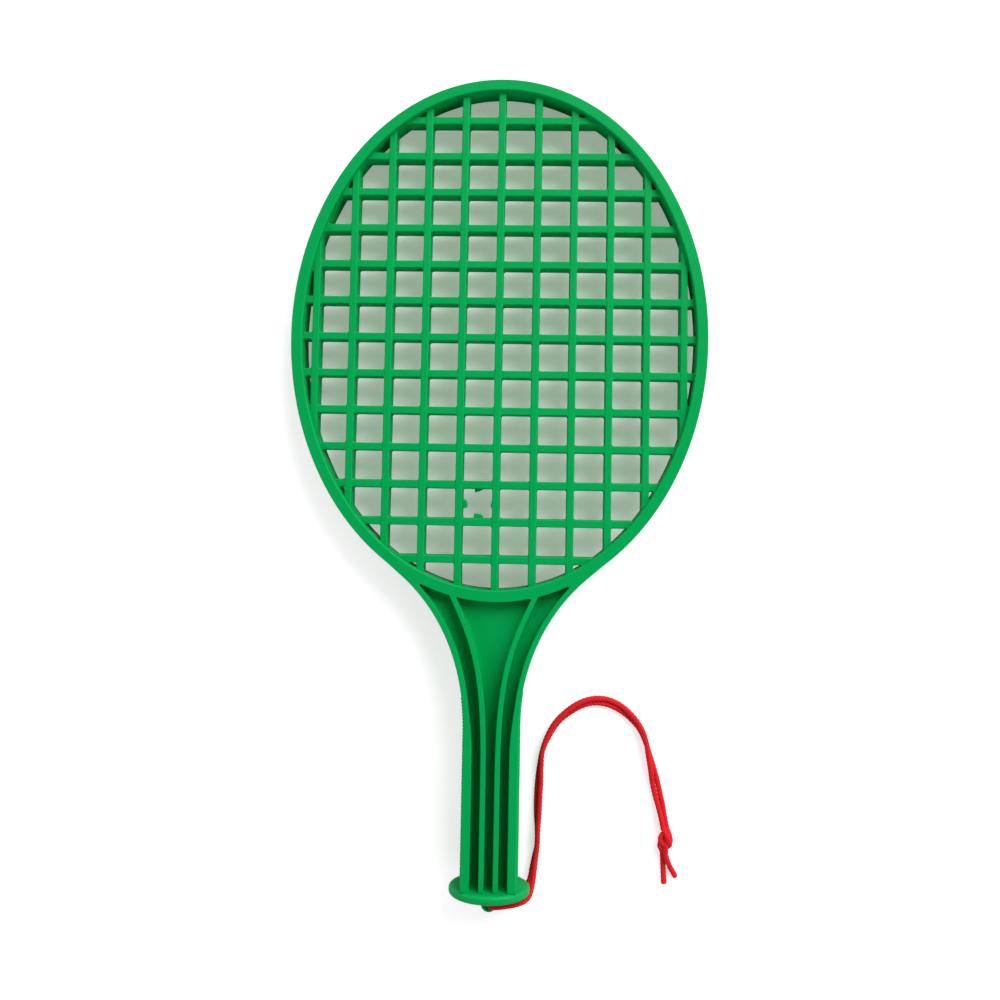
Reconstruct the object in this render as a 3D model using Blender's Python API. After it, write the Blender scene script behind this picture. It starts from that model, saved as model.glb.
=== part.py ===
"""A child's moulded plastic tennis racket with a doubled wrist cord, lying on a flat surface.

The moulding is one shot of plastic, modelled as its own regions: the hoop, the lattice that
stands for strings, the ribbed throat, the ribbed handle, the butt flange and the cord eyelet.
The racket's own frame has X across the face, Y towards the tip and Z out of the face, with
its origin at the middle of the head. The whole moulding is then laid down on hoop and flange.
"""

import math

import bmesh
import bpy
import numpy as np
from mathutils import Matrix, Vector

# Gap kept between regions that are one piece of plastic, or that touch.
SEAM = 0.0003
WELD = 0.000001
SHARP_EDGE = math.radians(35)

# Hoop: an elliptical ring.
HOOP_HALF_WIDTH = 0.1072
HOOP_HALF_LENGTH = 0.1350
HOOP_WALL = 0.0060
HOOP_DEPTH = 0.0145
HOOP_ROUNDING = 0.0008
HOOP_SIDES = 120

# Lattice of crossing bars.
BAR_PITCH = 0.0190
BARS_ACROSS = 11
BARS_ALONG = 13
BAR_CREST = 0.0032
BAR_WAIST = 0.0038
BAR_DEPTH = 0.0098
CROSS_BAR_STEP = 0.0003

# Throat and handle, seen from the front. Each edge is a Bezier curve that leaves the hoop at
# a point and a direction, and runs into a straight line along the grip. Places along the
# racket are set from the hoop's lower end.
HOOP_END = -HOOP_HALF_LENGTH
GRIP_MIDDLE_SLOT = 0.0040
GRIP_INNER_RIB = 0.0031
GRIP_SIDE_SLOT = 0.0038
GRIP_OUTER_RIB = 0.0050
FLARE_HALF_SPAN = 0.0525
FLARE_RISE = 0.0165
FLARE_START = (FLARE_HALF_SPAN, HOOP_END + FLARE_RISE)
FLARE_ANGLE = math.radians(35.1)
FLARE_HOOP_PULL = 0.0118
FLARE_GRIP_PULL = 0.0490
FLARE_LENGTH = 0.0640
FLARE_END = HOOP_END - FLARE_LENGTH
FLARE_RIB = 0.0035
INNER_RIB_HALF_SPAN = 0.02237
INNER_RIB_RISE = 0.0055
INNER_RIB_START = (INNER_RIB_HALF_SPAN, HOOP_END + INNER_RIB_RISE)
INNER_RIB_ANGLE = math.radians(63.4)
INNER_RIB_PULL = 0.0326
INNER_RIB_GRIP_PULL = 0.0487
INNER_RIB_LENGTH = 0.0858
INNER_RIB_END = HOOP_END - INNER_RIB_LENGTH
EDGE_STEPS = 22

# Throat and handle, seen from the side.
GRIP_DEPTH = 0.0240
DEEPENING_RISE = 0.0090
DEEPENING_START = HOOP_END + DEEPENING_RISE
DEEPENING_LENGTH = 0.0650
DEEPENING_END = HOOP_END - DEEPENING_LENGTH
DEEPENING_STEPS = 12
WEB = 0.0028
THROAT_LENGTH = 0.0465
THROAT_END = HOOP_END - THROAT_LENGTH
HANDLE_REACH = 0.1414
HANDLE_END = HOOP_END - HANDLE_REACH

# Ridges moulded across both side walls of the grip.
RIDGE_PITCH = 0.00165
RIDGE_ROOM = 0.0107
RIDGE_COUNT = int((THROAT_END - HANDLE_END - RIDGE_ROOM) / RIDGE_PITCH)
RIDGE_PROUD = 0.00035
RIDGE_ROOT = 0.0012
RIDGE_MARGIN = 0.0020

# Butt flange and the eyelet lug under it.
FLANGE_WIDTH = 0.0410
FLANGE_HEIGHT = 0.0320
FLANGE_THICKNESS = 0.0045
FLANGE_ROUNDING = 0.0012
FLANGE_ROUNDING_STEPS = 2
FLANGE_SIDES = 64
EYELET_DROP = 0.0050
EYELET_RADIUS = 0.0043
EYELET_HOLE_RADIUS = 0.0021
EYELET_HOLE_SIDES = 24
EYELET_BASE_HALF = 0.0060
EYELET_BOWL_START = math.radians(20)
EYELET_BOWL_STEPS = 16
EYELET_THICKNESS = 0.0040
EYELET_ROUNDING = 0.0006

# Wrist cord: one length of braided cord, put through the eyelet, doubled and knotted.
# Its points are in metres from the spot on the surface straight below the eyelet's hole.
CORD_DIAMETER = 0.0028
CORD_REST = CORD_DIAMETER / 2 + 0.00005
PAIR_SPACING = CORD_DIAMETER + SEAM
CORD_STEPS = 2
CORD_SIDE_STEPS = 2
FRONT_LEAD = (
    (-0.0002, 0.0000, 0.01625),
    (-0.0001, 0.0000, 0.0173),
    (0.0005, 0.0000, 0.0186),
    (0.0022, 0.0000, 0.0202),
    (0.0046, 0.0000, 0.0209),
    (0.0086, -0.0003, 0.0202),
    (0.0124, -0.0005, 0.0186),
    (0.0158, -0.0002, 0.0166),
    (0.0187, 0.0009, 0.0146),
    (0.0207, 0.0029, 0.0129),
    (0.0218, 0.0061, 0.0110),
    (0.0225, 0.0096, 0.0092),
    (0.0230, 0.0136, 0.0073),
    (0.0234, 0.0184, 0.0056),
)
BACK_LEAD = (
    (-0.0002, 0.0000, 0.01595),
    (-0.0001, 0.0000, 0.0149),
    (0.0005, 0.0000, 0.0136),
    (0.0022, 0.0000, 0.0120),
    (0.0046, 0.0000, 0.0113),
    (0.0084, 0.0002, 0.0096),
    (0.0117, 0.0011, 0.0070),
    (0.0146, 0.0031, 0.0044),
    (0.0172, 0.0060, 0.0024),
    (0.0192, 0.0096, 0.0016),
    (0.0206, 0.0136, CORD_REST),
    (0.0222, 0.0190, CORD_REST),
)
# The two strands side by side: the middle of the pair, and how far the front strand has
# turned about the back one, in degrees. At 90 it lies on top, at 0 outside the bend.
PAIR_ROUTE = (
    (0.0237, 0.0254, 90),
    (0.0238, 0.0334, 95),
    (0.0238, 0.0414, 118),
    (0.0239, 0.0494, 127),
    (0.0243, 0.0578, 125),
    (0.0248, 0.0659, 105),
    (0.0259, 0.0741, 85),
    (0.0292, 0.0824, 65),
    (0.0335, 0.0891, 58),
    (0.0396, 0.0945, 42),
    (0.0458, 0.0981, 34),
    (0.0520, 0.0997, 25),
    (0.0582, 0.0994, 15),
    (0.0644, 0.0971, 20),
    (0.0706, 0.0926, 42),
    (0.0758, 0.0865, 66),
    (0.0788, 0.0799, 84),
    (0.0806, 0.0729, 108),
    (0.0824, 0.0654, 134),
    (0.0838, 0.0592, 168),
    (0.0853, 0.0529, 172),
    (0.0868, 0.0471, 149),
    (0.0881, 0.0411, 134),
    (0.0892, 0.0358, 134),
)
KNOT_CENTRE = (0.0893, 0.0297, 0.0036)
KNOT_HALF_WIDTH = 0.0024
KNOT_HALF_HEIGHT = 0.0021
KNOT_HALF_LENGTH = 0.0040
KNOT_WRAP_SPACING = 0.0027
KNOT_WRAP_TILT = math.radians(24)
KNOT_SIDES = 16
KNOT_HEART_SIDES = 12
KNOT_HEART_RINGS = 8
KNOT_STRAIGHT = 0.0020
TAIL_STEPS = 2
LEFT_TAIL = (
    (0.0880, 0.0238, CORD_REST),
    (0.0883, 0.0192, CORD_REST),
    (0.0886, 0.0140, CORD_REST),
    (0.0890, 0.0079, CORD_REST),
)
RIGHT_TAIL = (
    (0.0894, 0.0238, 0.0045),
    (0.0904, 0.0203, 0.0038),
    (0.0921, 0.0162, 0.0022),
    (0.0938, 0.0132, 0.0015),
    (0.0950, 0.0107, CORD_REST),
)

PLASTIC = (0.004, 0.37, 0.085)
PLASTIC_ROUGHNESS = 0.35
CORD_RED = (0.72, 0.012, 0.02)
CORD_ROUGHNESS = 0.8

# A section drawn in XY and drawn out along Z, turned so that it runs along Y or along X.
ALONG_Y = Matrix.Rotation(math.pi / 2, 4, "X")
ALONG_X = Matrix.Rotation(math.pi / 2, 4, "Z") @ ALONG_Y


def clear_scene():
    for obj in list(bpy.data.objects):
        bpy.data.objects.remove(obj, do_unlink=True)


def new_collection(name):
    collection = bpy.data.collections.new(name)
    bpy.context.scene.collection.children.link(collection)
    return collection


def principled(name, colour, roughness):
    material = bpy.data.materials.new(name)
    material.use_nodes = True
    shader = material.node_tree.nodes["Principled BSDF"]
    shader.inputs["Base Color"].default_value = (*colour, 1.0)
    shader.inputs["Roughness"].default_value = roughness
    shader.inputs["Metallic"].default_value = 0.0
    return material


def ellipse(half_x, half_y, count):
    turns = [2 * math.pi * step / count for step in range(count)]
    return [(half_x * math.cos(turn), half_y * math.sin(turn)) for turn in turns]


def bezier(start, start_pull, end_pull, end, steps):
    """Points of a cubic Bezier curve, both ends included."""
    a, b, c, d = (Vector(point) for point in (start, start_pull, end_pull, end))
    points = []
    for step in range(steps + 1):
        t = step / steps
        s = 1 - t
        points.append(s * s * s * a + 3 * s * s * t * b + 3 * s * t * t * c + t * t * t * d)
    return points


def smooth(points, steps):
    """Points read from a smooth curve through the given ones, steps to each stretch."""
    route = [Vector(point) for point in points]
    route = [2 * route[0] - route[1], *route, 2 * route[-1] - route[-2]]
    read = []
    for a, b, c, d in zip(route, route[1:], route[2:], route[3:]):
        for step in range(steps):
            t = step / steps
            bend = (2 * a - 5 * b + 4 * c - d) * t * t + (3 * b - a - 3 * c + d) * t * t * t
            read.append(b + ((c - a) * t + bend) / 2)
    return [*read, route[-2]]


def meshed(holder):
    """The curve object as a mesh object, with its caps welded to its sides."""
    bpy.context.scene.collection.objects.link(holder)
    graph = bpy.context.evaluated_depsgraph_get()
    mesh = bpy.data.meshes.new_from_object(holder.evaluated_get(graph))
    edit = bmesh.new()
    edit.from_mesh(mesh)
    bmesh.ops.remove_doubles(edit, verts=edit.verts, dist=WELD)
    bmesh.ops.recalc_face_normals(edit, faces=edit.faces)
    edit.to_mesh(mesh)
    edit.free()
    name, place = holder.name, holder.matrix_world.copy()
    bpy.data.objects.remove(holder, do_unlink=True)
    solid = bpy.data.objects.new(name, mesh)
    solid.matrix_world = place
    return solid


def plate(name, outlines, thickness, rounding=0.0, rounding_steps=1):
    """A flat outline, with any holes in it, drawn out to a thickness about its own plane."""
    curve = bpy.data.curves.new(name, "CURVE")
    curve.dimensions = "2D"
    curve.fill_mode = "BOTH"
    curve.extrude = thickness / 2 - rounding
    curve.bevel_depth = rounding
    curve.bevel_resolution = rounding_steps
    curve.offset = -rounding
    for outline in outlines:
        spline = curve.splines.new("POLY")
        spline.points.add(len(outline) - 1)
        for point, (x, y) in zip(spline.points, outline):
            point.co = (x, y, 0.0, 1.0)
        spline.use_cyclic_u = True
    return meshed(bpy.data.objects.new(name, curve))


def tube(name, points, radius, closed=False):
    curve = bpy.data.curves.new(name, "CURVE")
    curve.dimensions = "3D"
    curve.bevel_depth = radius
    curve.bevel_resolution = CORD_SIDE_STEPS
    curve.use_fill_caps = not closed
    spline = curve.splines.new("POLY")
    spline.points.add(len(points) - 1)
    for point, place in zip(spline.points, points):
        point.co = (*place, 1.0)
    spline.use_cyclic_u = closed
    return bpy.data.objects.new(name, curve)


def moved(obj, matrix):
    obj.data.transform(matrix)
    return obj


def joined(name, solids):
    """One object that holds several bodies."""
    edit = bmesh.new()
    for solid in solids:
        edit.from_mesh(solid.data)
        bpy.data.objects.remove(solid, do_unlink=True)
    mesh = bpy.data.meshes.new(name)
    edit.to_mesh(mesh)
    edit.free()
    return bpy.data.objects.new(name, mesh)


def boolean(obj, operation, other):
    modifier = obj.modifiers.new(operation.title(), "BOOLEAN")
    modifier.operation = operation
    modifier.object = other
    modifier.solver = "EXACT"


def as_cutter(obj, collection):
    collection.objects.link(obj)
    obj.hide_render = True
    obj.display_type = "WIRE"
    return obj


def shade(obj):
    obj.data.shade_smooth()
    obj.data.set_sharp_from_angle(angle=SHARP_EDGE)


def centred(count, pitch):
    return [(index - (count - 1) / 2) * pitch for index in range(count)]


def heading(angle):
    """The way down and inwards that an edge of the throat takes at the hoop."""
    return Vector((-math.cos(angle), -math.sin(angle)))


def flare_edge(start, angle, hoop_pull, grip_half, grip_pull, end):
    """The half outline of one edge of the throat: a curve from the hoop into the grip."""
    start = Vector(start)
    grip = Vector((grip_half, end))
    return bezier(
        start,
        start + hoop_pull * heading(angle),
        grip + Vector((0.0, grip_pull)),
        grip,
        EDGE_STEPS,
    )


def offset_edge(edge, at_hoop, at_grip):
    """The edge moved sideways, away from the middle line where the distances are positive."""
    last = len(edge) - 1
    moved_points = []
    for index, point in enumerate(edge):
        before = edge[max(index - 1, 0)]
        after = edge[min(index + 1, last)]
        along = (after - before).normalized()
        distance = at_hoop + index / last * (at_grip - at_hoop)
        moved_points.append(point + distance * Vector((-along.y, along.x)))
    return moved_points


def throat_edges():
    """Half outlines, from the middle line out: both sides of the inner rib, then the outer."""
    middle = GRIP_MIDDLE_SLOT / 2
    inner_rib = flare_edge(
        INNER_RIB_START,
        INNER_RIB_ANGLE,
        INNER_RIB_PULL,
        middle + GRIP_INNER_RIB / 2,
        INNER_RIB_GRIP_PULL,
        INNER_RIB_END,
    )
    outer = flare_edge(
        FLARE_START,
        FLARE_ANGLE,
        FLARE_HOOP_PULL,
        middle + GRIP_INNER_RIB + GRIP_SIDE_SLOT + GRIP_OUTER_RIB,
        FLARE_GRIP_PULL,
        FLARE_END,
    )
    half_rib = GRIP_INNER_RIB / 2
    return (
        offset_edge(inner_rib, -half_rib, -half_rib),
        offset_edge(inner_rib, half_rib, half_rib),
        offset_edge(outer, -FLARE_RIB, -GRIP_OUTER_RIB),
        outer,
    )


def edge_half(edge, y):
    """Half width of an edge at a distance along the racket."""
    ys = [point.y for point in reversed(edge)]
    xs = [point.x for point in reversed(edge)]
    return float(np.interp(y, ys, xs))


def edge_between(edge, top, bottom):
    """The edge's points from top down to bottom, ends included."""
    inside = [(point.x, point.y) for point in edge if bottom < point.y < top]
    return [(edge_half(edge, top), top), *inside, (edge_half(edge, bottom), bottom)]


def both_sides(half):
    """A closed outline from its right half, listed from the top down."""
    return [*half, *[(-x, y) for x, y in reversed(half)]]


def build_hoop():
    outer = ellipse(HOOP_HALF_WIDTH, HOOP_HALF_LENGTH, HOOP_SIDES)
    inner = ellipse(HOOP_HALF_WIDTH - HOOP_WALL, HOOP_HALF_LENGTH - HOOP_WALL, HOOP_SIDES)
    return plate("frame_hoop", [outer, inner[::-1]], HOOP_DEPTH, HOOP_ROUNDING)


def bar(crest, waist, depth, length):
    """A lattice bar along Z, thickest at mid depth, as a two-part mould leaves it."""
    section = [
        (-crest / 2, depth / 2),
        (-waist / 2, 0.0),
        (-crest / 2, -depth / 2),
        (crest / 2, -depth / 2),
        (waist / 2, 0.0),
        (crest / 2, depth / 2),
    ]
    return plate("bar", [section], length)


def build_grid(cutters):
    length = 2 * HOOP_HALF_LENGTH
    upright = []
    for x in centred(BARS_ACROSS, BAR_PITCH):
        piece = bar(BAR_CREST, BAR_WAIST, BAR_DEPTH, length)
        upright.append(moved(piece, Matrix.Translation((x, 0, 0)) @ ALONG_Y))
    level = []
    for y in centred(BARS_ALONG, BAR_PITCH):
        piece = bar(BAR_CREST, BAR_WAIST, BAR_DEPTH - 2 * CROSS_BAR_STEP, length)
        level.append(moved(piece, Matrix.Translation((0, y, 0)) @ ALONG_X))
    grid = joined("string_grid", upright)
    boolean(grid, "UNION", as_cutter(joined("level_bars", level), cutters))
    room = HOOP_WALL + SEAM
    opening = ellipse(HOOP_HALF_WIDTH - room, HOOP_HALF_LENGTH - room, HOOP_SIDES)
    trim = plate("hoop_opening", [opening], 2 * BAR_DEPTH)
    boolean(grid, "INTERSECT", as_cutter(trim, cutters))
    return grid


def side_profile():
    """The moulding from the side, as deep as the hoop at the head and deeper at the grip."""
    half = []
    for step in range(DEEPENING_STEPS + 1):
        t = step / DEEPENING_STEPS
        ease = t * t * (3 - 2 * t)
        y = DEEPENING_START + t * (DEEPENING_END - DEEPENING_START)
        half.append((y, (HOOP_DEPTH + ease * (GRIP_DEPTH - HOOP_DEPTH)) / 2))
    half = [(0.0, HOOP_DEPTH / 2), *half, (2 * HANDLE_END, GRIP_DEPTH / 2)]
    return [*half, *[(y, -z) for y, z in reversed(half)]]


def build_pockets(edges, cutters):
    """Cutters for the three slots, front and back, that leave the web between them."""
    middle, inner_side, outer_side, _ = edges
    far = 2 * HANDLE_END
    right = [
        *[(point.x, point.y) for point in outer_side],
        (outer_side[-1].x, far),
        (inner_side[-1].x, far),
        *[(point.x, point.y) for point in reversed(inner_side)],
    ]
    left = [(-x, y) for x, y in right]
    centre = both_sides([*[(point.x, point.y) for point in middle], (middle[-1].x, far)])
    depth = GRIP_DEPTH
    pockets = []
    for name, outline in (("right", right), ("left", left), ("middle", centre)):
        for side, direction in (("front", 1), ("back", -1)):
            cutter = plate(f"{name}_slot_{side}", [outline], depth)
            moved(cutter, Matrix.Translation((0, 0, direction * (WEB + depth) / 2)))
            pockets.append(as_cutter(cutter, cutters))
    return pockets


def ribbed_length(name, edges, top, bottom, profile, pockets):
    """A stretch of the throat and handle between two places, with its slots cut."""
    half = edge_between(edges[3], top, bottom)
    stretch = plate(name, [both_sides(half)], 2 * GRIP_DEPTH)
    boolean(stretch, "INTERSECT", profile)
    for pocket in pockets:
        boolean(stretch, "DIFFERENCE", pocket)
    return stretch


def build_ridges(edges, side, cutters):
    """A strip of ridges standing a little proud of one side wall of the grip."""
    outer = edges[3]
    top = THROAT_END - 2 * SEAM
    outline = []
    for step in range(2 * RIDGE_COUNT + 1):
        y = top - step * RIDGE_PITCH / 2
        proud = RIDGE_PROUD if step % 2 else -SEAM
        outline.append((side * (edge_half(outer, y) + proud), y))
    root = [(side * (edge_half(outer, y) - RIDGE_ROOT), y) for _, y in reversed(outline)]
    strip = plate(f"ridges_{'right' if side > 0 else 'left'}", [outline + root],
                  GRIP_DEPTH - 2 * RIDGE_MARGIN)
    return as_cutter(strip, cutters)


def build_throat_and_handle(cutters):
    edges = throat_edges()
    profile = plate("side_profile", [side_profile()], 2 * HOOP_HALF_WIDTH)
    as_cutter(moved(profile, ALONG_X), cutters)
    pockets = build_pockets(edges, cutters)
    split = THROAT_END
    throat = ribbed_length("throat", edges, FLARE_START[1], split + SEAM / 2, profile, pockets)
    around = ellipse(HOOP_HALF_WIDTH + SEAM, HOOP_HALF_LENGTH + SEAM, HOOP_SIDES)
    hoop_room = as_cutter(plate("hoop_room", [around], 2 * GRIP_DEPTH), cutters)
    boolean(throat, "DIFFERENCE", hoop_room)
    handle = ribbed_length("handle", edges, split - SEAM / 2, HANDLE_END, profile, pockets)
    for side in (-1, 1):
        boolean(handle, "UNION", build_ridges(edges, side, cutters))
    return throat, handle


def build_flange():
    rim = ellipse(FLANGE_WIDTH / 2, FLANGE_HEIGHT / 2, FLANGE_SIDES)
    flange = plate("butt_flange", [rim], FLANGE_THICKNESS, FLANGE_ROUNDING, FLANGE_ROUNDING_STEPS)
    middle = HANDLE_END - SEAM - FLANGE_THICKNESS / 2
    return moved(flange, Matrix.Translation((0, middle, 0)) @ ALONG_Y)


def eyelet_base():
    return HANDLE_END - SEAM - FLANGE_THICKNESS - SEAM


def eyelet_centre():
    return Vector((0.0, eyelet_base() - EYELET_DROP + SEAM, 0.0))


def build_eyelet():
    """A rounded lug under the flange, with the hole that the cord goes through."""
    base = eyelet_base()
    centre = eyelet_centre()
    step_turn = (math.pi - 2 * EYELET_BOWL_START) / EYELET_BOWL_STEPS
    turns = [EYELET_BOWL_START + step * step_turn for step in range(EYELET_BOWL_STEPS + 1)]
    bowl = [
        (EYELET_RADIUS * math.cos(turn), centre.y - EYELET_RADIUS * math.sin(turn))
        for turn in turns
    ]
    lug = [(EYELET_BASE_HALF, base), *bowl, (-EYELET_BASE_HALF, base)]
    ring = ellipse(EYELET_HOLE_RADIUS, EYELET_HOLE_RADIUS, EYELET_HOLE_SIDES)
    hole = [(x, centre.y + y) for x, y in ring]
    return plate("cord_eyelet", [lug[::-1], hole[::-1]], EYELET_THICKNESS, EYELET_ROUNDING)


def lay_down(moulding, cutters):
    """An empty that carries the moulding and rests it on the hoop's tip and the flange."""
    reach = HOOP_HALF_LENGTH - HANDLE_END + FLANGE_THICKNESS / 2
    pitch = -math.atan2((FLANGE_HEIGHT - HOOP_DEPTH) / 2, reach)
    turn = Matrix.Rotation(pitch, 3, "X")
    bpy.context.view_layer.update()
    graph = bpy.context.evaluated_depsgraph_get()
    places = np.array(
        [turn @ vertex.co for part in moulding for vertex in part.evaluated_get(graph).data.vertices]
    )
    low, high = places.min(axis=0), places.max(axis=0)
    rest = bpy.data.objects.new("racket_rest", None)
    rest.rotation_euler.x = pitch
    rest.location = (-(low[0] + high[0]) / 2, -(low[1] + high[1]) / 2, -low[2])
    bpy.context.scene.collection.objects.link(rest)
    carry([*moulding, *cutters.objects], rest)
    return rest


def carry(parts, empty):
    for part in parts:
        part.parent = empty
    bpy.context.view_layer.update()


def strand_route(lead, side):
    """A strand's own points: its lead from the eyelet, then its side of the pair."""
    route = [Vector(point) for point in lead]
    middles = [Vector((x, y)) for x, y, _ in PAIR_ROUTE]
    for index, (x, y, turned) in enumerate(PAIR_ROUTE):
        before = middles[max(index - 1, 0)]
        after = middles[min(index + 1, len(middles) - 1)]
        along = (after - before).normalized()
        lay = math.radians(turned)
        out = side * PAIR_SPACING / 2 * math.cos(lay)
        rise = PAIR_SPACING * math.sin(lay) if side > 0 else 0.0
        route.append(Vector((x - along.y * out, y + along.x * out, CORD_REST + rise)))
    return route


def knot_wrap(name, offset):
    """One turn of the knot round the strands inside it."""
    centre = Vector(KNOT_CENTRE) + Vector((0, offset, 0))
    turn = Matrix.Rotation(KNOT_WRAP_TILT, 3, "Z")
    ring = ellipse(KNOT_HALF_WIDTH, KNOT_HALF_HEIGHT, KNOT_SIDES)
    points = [centre + turn @ Vector((x, 0, z)) for x, z in ring]
    return meshed(tube(name, points, CORD_DIAMETER / 2, closed=True))


def knot_heart():
    """What fills the middle of the knot, where the turns are drawn tight on each other."""
    edit = bmesh.new()
    bmesh.ops.create_uvsphere(
        edit, u_segments=KNOT_HEART_SIDES, v_segments=KNOT_HEART_RINGS, radius=1.0
    )
    size = Matrix.Diagonal((KNOT_HALF_WIDTH, KNOT_HALF_LENGTH, KNOT_HALF_HEIGHT, 1.0))
    edit.transform(Matrix.Translation(KNOT_CENTRE) @ size)
    mesh = bpy.data.meshes.new("knot_heart")
    edit.to_mesh(mesh)
    edit.free()
    return bpy.data.objects.new("knot_heart", mesh)


def through_knot(name, strand, tail):
    """A strand's way through the knot, square to the strand's end and to its tail's start."""
    way_in = (strand[-1] - strand[-2]).normalized()
    way_out = (tail[1] - tail[0]).normalized()
    start = strand[-1] + SEAM * way_in
    end = tail[0] - SEAM * way_out
    points = [start, start + KNOT_STRAIGHT * way_in, end - KNOT_STRAIGHT * way_out, end]
    return meshed(tube(name, points, CORD_DIAMETER / 2))


def build_cord(cutters):
    radius = CORD_DIAMETER / 2
    front = smooth(strand_route(FRONT_LEAD, 1), CORD_STEPS)
    back = smooth(strand_route(BACK_LEAD, -1), CORD_STEPS)
    left = smooth(LEFT_TAIL, TAIL_STEPS)
    right = smooth(RIGHT_TAIL, TAIL_STEPS)
    knot = through_knot("cord_knot", back, left)
    others = [through_knot("front_through_knot", front, right), knot_heart()]
    for side in (-1, 1):
        others.append(knot_wrap(f"knot_wrap_{side + 2}", side * KNOT_WRAP_SPACING / 2))
    for other in others:
        boolean(knot, "UNION", as_cutter(other, cutters))
    return [
        tube("cord_front_strand", front, radius),
        tube("cord_back_strand", back, radius),
        knot,
        tube("cord_tail_left", left, radius),
        tube("cord_tail_right", right, radius),
    ]


def finish_piece(obj, collection, colour, roughness):
    collection.objects.link(obj)
    obj.data.materials.append(principled(obj.name, colour, roughness))
    if obj.type == "MESH":
        shade(obj)


def main():
    clear_scene()
    racket = new_collection("plastic_tennis_racket")
    cutters = new_collection("moulding_cutters")
    cord_cutters = new_collection("cord_cutters")
    moulding = [build_hoop(), build_grid(cutters)]
    moulding += build_throat_and_handle(cutters)
    moulding += [build_flange(), build_eyelet()]
    for part in moulding:
        finish_piece(part, racket, PLASTIC, PLASTIC_ROUGHNESS)
    rest = lay_down(moulding, cutters)
    cord = build_cord(cord_cutters)
    for part in cord:
        finish_piece(part, racket, CORD_RED, CORD_ROUGHNESS)
    under_eyelet = bpy.data.objects.new("under_eyelet", None)
    place = rest.matrix_world @ eyelet_centre()
    under_eyelet.location = (place.x, place.y, 0.0)
    bpy.context.scene.collection.objects.link(under_eyelet)
    carry([*cord, *cord_cutters.objects], under_eyelet)


main()
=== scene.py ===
"""Looks of a child's moulded plastic tennis racket with a doubled wrist cord, lying on a pale floor."""

import math

import bpy
import numpy as np
from mathutils import Matrix, Vector
from mathutils.geometry import delaunay_2d_cdt


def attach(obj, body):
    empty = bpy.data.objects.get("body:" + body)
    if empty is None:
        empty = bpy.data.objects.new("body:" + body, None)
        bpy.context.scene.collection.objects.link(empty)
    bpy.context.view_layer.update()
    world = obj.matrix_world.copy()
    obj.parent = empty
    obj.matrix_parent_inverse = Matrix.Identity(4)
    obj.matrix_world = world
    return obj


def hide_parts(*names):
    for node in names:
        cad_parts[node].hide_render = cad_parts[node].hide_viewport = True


# The racket's own frame: X across the face, Y towards the tip, Z out of the face, origin at
# the middle of the head. It lies pitched, on the hoop's tip and the flange.
REST_PITCH = -0.02115
REST_PLACE = (0.0, 0.077679, 0.010119)
REST = Matrix.Translation(REST_PLACE) @ Matrix.Rotation(REST_PITCH, 4, "X")

# Camera.
CAMERA_PLACE = (0.0250000, 0.0090645, 0.4801497)
CAMERA_TURN = (0.0310540, 0.0319114, 0.0162087)
CAMERA_LENS = 32.7038
CAMERA_SENSOR = 36.0
CAMERA_SHIFT = (-0.0160439, -0.0563951)

# Light. The world's brightness goes by the sine of the height above the horizon: each pair
# is such a sine and the share of the level there.
WORLD_LEVEL = 1.25
WORLD_BAND = ((0.0, 0.30), (0.20, 0.40), (0.38, 1.0), (0.60, 1.0), (0.80, 0.04), (1.0, 0.02))
WORLD_BRIGHT_SIDE = (0.57, 0.82, 0.0)
WORLD_LEAN = 0.25
KEY_PLACE = (0.98, 1.45, 1.25)
KEY_AIM = (0, -0.05, 0)
KEY_SIZE = 1.5
KEY_POWER = 36.0
# The floor's glow, seen by the camera only, is painted shade inside an ellipse under the
# lattice: darker and grey-green there, for the lattice's shadow and its green bounce. Round
# the racket it is brighter, painted light that pales the racket's shadow. The change is hidden
# by the hoop: an ellipse, its middle, half axes and soft edge.
FLOOR_GLOW_PAINTED_SHADE = (0.280, 0.314, 0.272)
FLOOR_GLOW_PAINTED_LIGHT = (0.560, 0.545, 0.556)
PAINTED_SHADE_MIDDLE = (0.0, 0.0780, 0.0)
PAINTED_SHADE_HALF_AXES = (0.1065, 0.1340)
PAINTED_SHADE_EDGE = 0.025
FLOOR_HALF = 3.0
FLOOR_SEEN = 0.86
FLOOR_WHITE = 0.80

# Colours and finish. A noise is its scale and its detail.
NOISE_LOW = 0.3
NOISE_HIGH = 0.7
GLOSS = 0.2
GREEN_DEEP = (0.0, 0.345, 0.075)
GREEN_BRIGHT = (0.0, 0.400, 0.092)
GREEN_GLINT = (0.5, 1.0, 0.65, 1.0)
GREEN_FLOW = (22.0, 4.0)
GREEN_WEAR = (140.0, 3.0)
GREEN_ROUGHNESS = (0.36, 0.48)
GREEN_GRAIN = (1600.0, 3.0)
GREEN_GRAIN_DEPTH = 0.00004
GREEN_GRAIN_STRENGTH = 0.5
RED_BRIGHT = (0.96, 0.022, 0.028)
RED_DULL = (0.84, 0.015, 0.022)
# Painted shade: the cord's colour down in the plait's grooves.
RED_PAINTED_GROOVE_SHADE = (0.60, 0.006, 0.013)
RED_MOTTLE = (700.0, 2.0)
RED_FIBRES = (5000.0, 3.0)
RED_FIBRE_DEPTH = 0.00006
RED_FIBRE_STRENGTH = 0.6
RED_ROUGHNESS = 0.85
RED_SPECULAR = 0.2
RED_SHEEN = 0.15
RED_SHEEN_TINT = (1.0, 0.25, 0.25, 1.0)

# Curves: how finely they are read, and the smallest lengths and turns that count.
CURVE_STEPS = 60
BLEND_STEPS = 12
ROUTE_STEPS = 12
CORNER_SHARE = 0.48
CORNER_STEP = math.radians(15)
END_REACH = 0.0003
SHORTEST_LINE = 1e-5
SAME_PLACE = 1e-7
SHORTEST_GAP = 1e-6
ROUND_OFF = 1e-6
SMALLEST_TURN = 1e-3
SLOPE_STEP = 1e-5
FILL_TOLERANCE = 1e-9
UNDIVIDED = 1.0

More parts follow.
